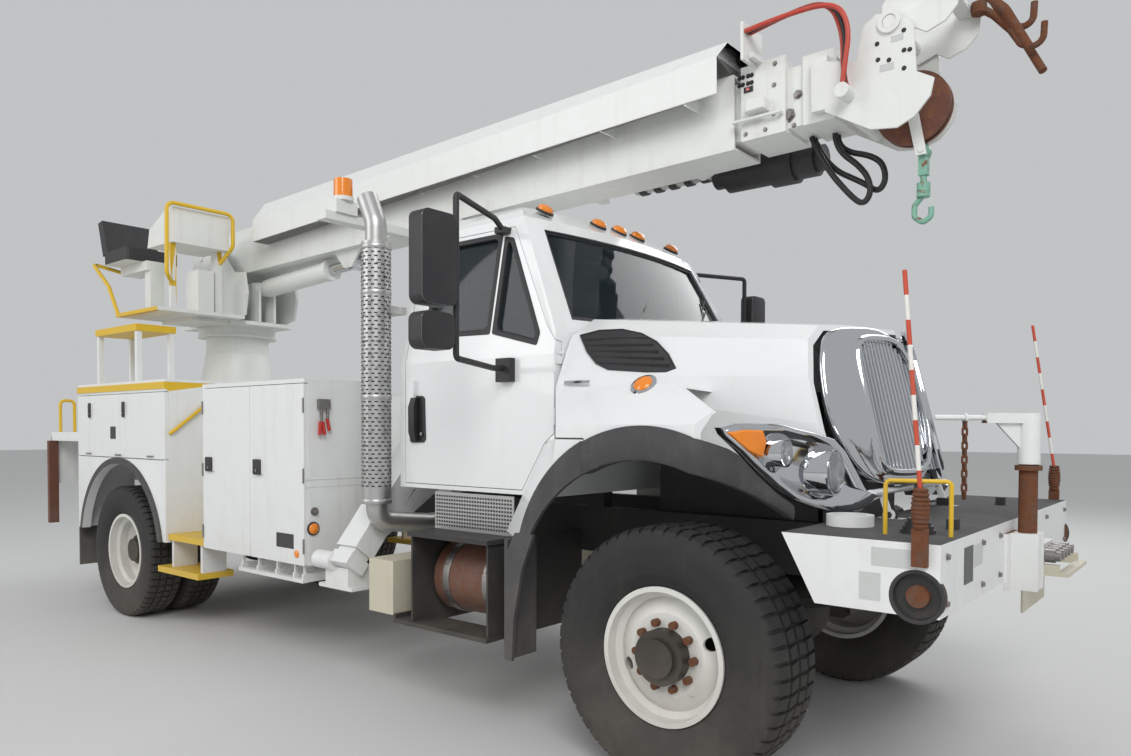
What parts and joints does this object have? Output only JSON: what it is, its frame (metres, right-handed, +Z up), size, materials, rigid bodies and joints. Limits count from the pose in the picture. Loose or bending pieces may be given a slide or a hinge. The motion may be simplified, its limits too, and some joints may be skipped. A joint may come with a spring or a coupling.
{
  "type": "digger derrick truck",
  "caption": "Four-wheel utility truck with a hood, tool cabinets and a turning derrick whose covered boom extends and carries a digger motor, pole guide and load hook.",
  "frame": {"origin": "on the ground under the middle of the truck's overall length, on its centre plane", "axes": "+X forward along the truck, +Y to its left, +Z up"},
  "size_m": [8.074, 3.342, 3.572],
  "materials": {
    "white_paint": "gloss",
    "boom_white": "satin",
    "cover_white": "satin",
    "dark_metal": "satin",
    "black_plastic": "satin",
    "chrome": "polished",
    "steel": "satin",
    "yellow_paint": "gloss",
    "rusty_iron": "rough",
    "engine_iron": "rough",
    "rim_paint": "satin",
    "tyre": "matte",
    "rubber": "matte",
    "glass": "clear",
    "cab_trim": "satin"
  },
  "bodies": {
    "chassis": {"frame": "dark_metal", "axles": "dark_metal", "engine": "engine_iron", "cab": "white_paint", "cab_interior": "cab_trim", "cab_glass": "glass", "front_bumper": "white_paint", "bumper_gear": "dark_metal", "cab_steps": "black_plastic", "side_tanks": "rusty_iron", "exhaust_stack": "steel", "front_cabinets": "white_paint", "rear_cabinets": "white_paint", "bed": "white_paint", "pedestal": "white_paint", "boom_rest": "white_paint", "outrigger_housing": "white_paint", "step_frame": "yellow_paint"},
    "hood": {"hood": "white_paint", "grille": "chrome", "headlights": "chrome", "fender_flares": "black_plastic"},
    "turret": {"turret": "white_paint", "operator_station": "white_paint"},
    "boom": {"boom": "boom_white", "boom_cover": "cover_white", "digger": "dark_metal"},
    "boom_stage": {"boom_tip": "boom_white", "tip_hoses": "rubber"},
    "pole_guide": {"pole_guide": "white_paint", "tongs": "steel"},
    "load_hook": {"load_hook": "steel"},
    "lift_barrel": {"lift_barrel": "white_paint"},
    "lift_rod": {"lift_rod": "steel"},
    "swing_arm": {"swing_arm": "white_paint"},
    "door_right": {"door_right": "white_paint", "door_glass_right": "glass", "mirror_right": "black_plastic"},
    "cabinet_door_front_right": {"cabinet_door_front_right": "white_paint"},
    "cabinet_door_rear_right": {"cabinet_door_rear_right": "white_paint"},
    "box_door_right": {"box_door_right": "white_paint"},
    "outrigger_right": {"outrigger_right": "white_paint"},
    "knuckle_right": {"knuckle_right": "dark_metal"},
    "front_wheel_right": {"front_tyre_right": "tyre", "front_wheel_right": "rim_paint"},
    "rear_wheels_right": {"rear_tyres_right": "tyre", "rear_wheels_right": "rim_paint"},
    "door_left": {"door_left": "white_paint", "door_glass_left": "glass", "mirror_left": "black_plastic"},
    "cabinet_door_front_left": {"cabinet_door_front_left": "white_paint"},
    "cabinet_door_rear_left": {"cabinet_door_rear_left": "white_paint"},
    "box_door_left": {"box_door_left": "white_paint"},
    "outrigger_left": {"outrigger_left": "white_paint"},
    "knuckle_left": {"knuckle_left": "dark_metal"},
    "front_wheel_left": {"front_tyre_left": "tyre", "front_wheel_left": "rim_paint"},
    "rear_wheels_left": {"rear_tyres_left": "tyre", "rear_wheels_left": "rim_paint"}
  },
  "joints": [
    {"name": "hood_hinge", "type": "hinge", "parent": "chassis", "child": "hood", "pos_m": [3.425, 0, 1.15], "axis": [0, 1, 0], "range_deg": [0, 30]},
    {"name": "turret_swing", "type": "hinge", "parent": "chassis", "child": "turret", "pos_m": [-2.742, 0, 2.376], "axis": [0, 0, 1], "continuous": true},
    {"name": "boom_lift", "type": "hinge", "parent": "turret", "child": "boom", "pos_m": [-2.915, 0, 3.1], "axis": [0, -1, 0], "range_deg": [0, 70]},
    {"name": "boom_extend", "type": "slide", "parent": "boom", "child": "boom_stage", "axis": [0.9998, 0, 0.0175], "range_m": [0, 2.3]},
    {"name": "lift_barrel_tilt", "type": "hinge", "parent": "turret", "child": "lift_barrel", "pos_m": [-2.285, 0, 2.77], "axis": [0, -1, 0], "range_deg": [0, 84]},
    {"name": "lift_rod_slide", "type": "slide", "parent": "lift_barrel", "child": "lift_rod", "axis": [0.9985, 0, 0.0539], "range_m": [0, 0.78]},
    {"name": "pole_guide_tilt", "type": "hinge", "parent": "boom_stage", "child": "pole_guide", "pos_m": [3.328, 0, 3.387], "axis": [0, -1, 0], "range_deg": [0, 45]},
    {"name": "load_hook_swing", "type": "hinge", "parent": "boom_stage", "child": "load_hook", "pos_m": [3.427, 0, 2.826], "axis": [0, 1, 0], "range_deg": [-20, 70]},
    {"name": "swing_arm_turn", "type": "hinge", "parent": "chassis", "child": "swing_arm", "pos_m": [3.915, -0.156, 1.485], "axis": [0, 0, 1], "range_deg": [-170, 170]},
    {"name": "door_right_hinge", "type": "hinge", "parent": "chassis", "child": "door_right", "pos_m": [2.006, -1.004, 1.8], "axis": [0, 0, 1], "range_deg": [0, 70]},
    {"name": "cabinet_door_front_right_hinge", "type": "hinge", "parent": "chassis", "child": "cabinet_door_front_right", "pos_m": [0.2, -1.222, 1.25], "axis": [0, 0, 1], "range_deg": [0, 100]},
    {"name": "cabinet_door_rear_right_hinge", "type": "hinge", "parent": "chassis", "child": "cabinet_door_rear_right", "pos_m": [-0.417, -1.222, 1.25], "axis": [0, 0, 1], "range_deg": [0, 100]},
    {"name": "box_door_right_hinge", "type": "hinge", "parent": "chassis", "child": "box_door_right", "pos_m": [-2.402, -1.222, 1.281], "axis": [1, 0, 0], "range_deg": [0, 90]},
    {"name": "outrigger_right_slide", "type": "slide", "parent": "chassis", "child": "outrigger_right", "axis": [0, -0.6228, -0.7823], "range_m": [0, 0.73]},
    {"name": "steer_right", "type": "hinge", "parent": "chassis", "child": "knuckle_right", "pos_m": [2.725, -0.858, 0.555], "axis": [0, 0, 1], "range_deg": [-30, 30]},
    {"name": "front_wheel_right_spin", "type": "hinge", "parent": "knuckle_right", "child": "front_wheel_right", "pos_m": [2.725, -0.998, 0.555], "axis": [0, 1, 0], "continuous": true},
    {"name": "rear_wheels_right_spin", "type": "hinge", "parent": "chassis", "child": "rear_wheels_right", "pos_m": [-2.393, -0.909, 0.525], "axis": [0, 1, 0], "continuous": true},
    {"name": "door_left_hinge", "type": "hinge", "parent": "chassis", "child": "door_left", "pos_m": [2.006, 1.004, 1.8], "axis": [0, 0, -1], "range_deg": [0, 70]},
    {"name": "cabinet_door_front_left_hinge", "type": "hinge", "parent": "chassis", "child": "cabinet_door_front_left", "pos_m": [0.2, 1.222, 1.25], "axis": [0, 0, -1], "range_deg": [0, 100]},
    {"name": "cabinet_door_rear_left_hinge", "type": "hinge", "parent": "chassis", "child": "cabinet_door_rear_left", "pos_m": [-0.417, 1.222, 1.25], "axis": [0, 0, -1], "range_deg": [0, 100]},
    {"name": "box_door_left_hinge", "type": "hinge", "parent": "chassis", "child": "box_door_left", "pos_m": [-2.402, 1.222, 1.281], "axis": [-1, 0, 0], "range_deg": [0, 90]},
    {"name": "outrigger_left_slide", "type": "slide", "parent": "chassis", "child": "outrigger_left", "axis": [0, 0.6228, -0.7823], "range_m": [0, 0.73]},
    {"name": "steer_left", "type": "hinge", "parent": "chassis", "child": "knuckle_left", "pos_m": [2.725, 0.858, 0.555], "axis": [0, 0, 1], "range_deg": [-30, 30]},
    {"name": "front_wheel_left_spin", "type": "hinge", "parent": "knuckle_left", "child": "front_wheel_left", "pos_m": [2.725, 0.998, 0.555], "axis": [0, 1, 0], "continuous": true},
    {"name": "rear_wheels_left_spin", "type": "hinge", "parent": "chassis", "child": "rear_wheels_left", "pos_m": [-2.393, 0.909, 0.525], "axis": [0, 1, 0], "continuous": true}
  ],
  "couplings": [
    {"joint": "lift_barrel_tilt", "follows": "boom_lift", "ratio": 1.1287},
    {"joint": "lift_rod_slide", "follows": "boom_lift", "m_per_rad": 0.6304},
    {"joint": "steer_left", "follows": "steer_right", "ratio": 1}
  ]
}
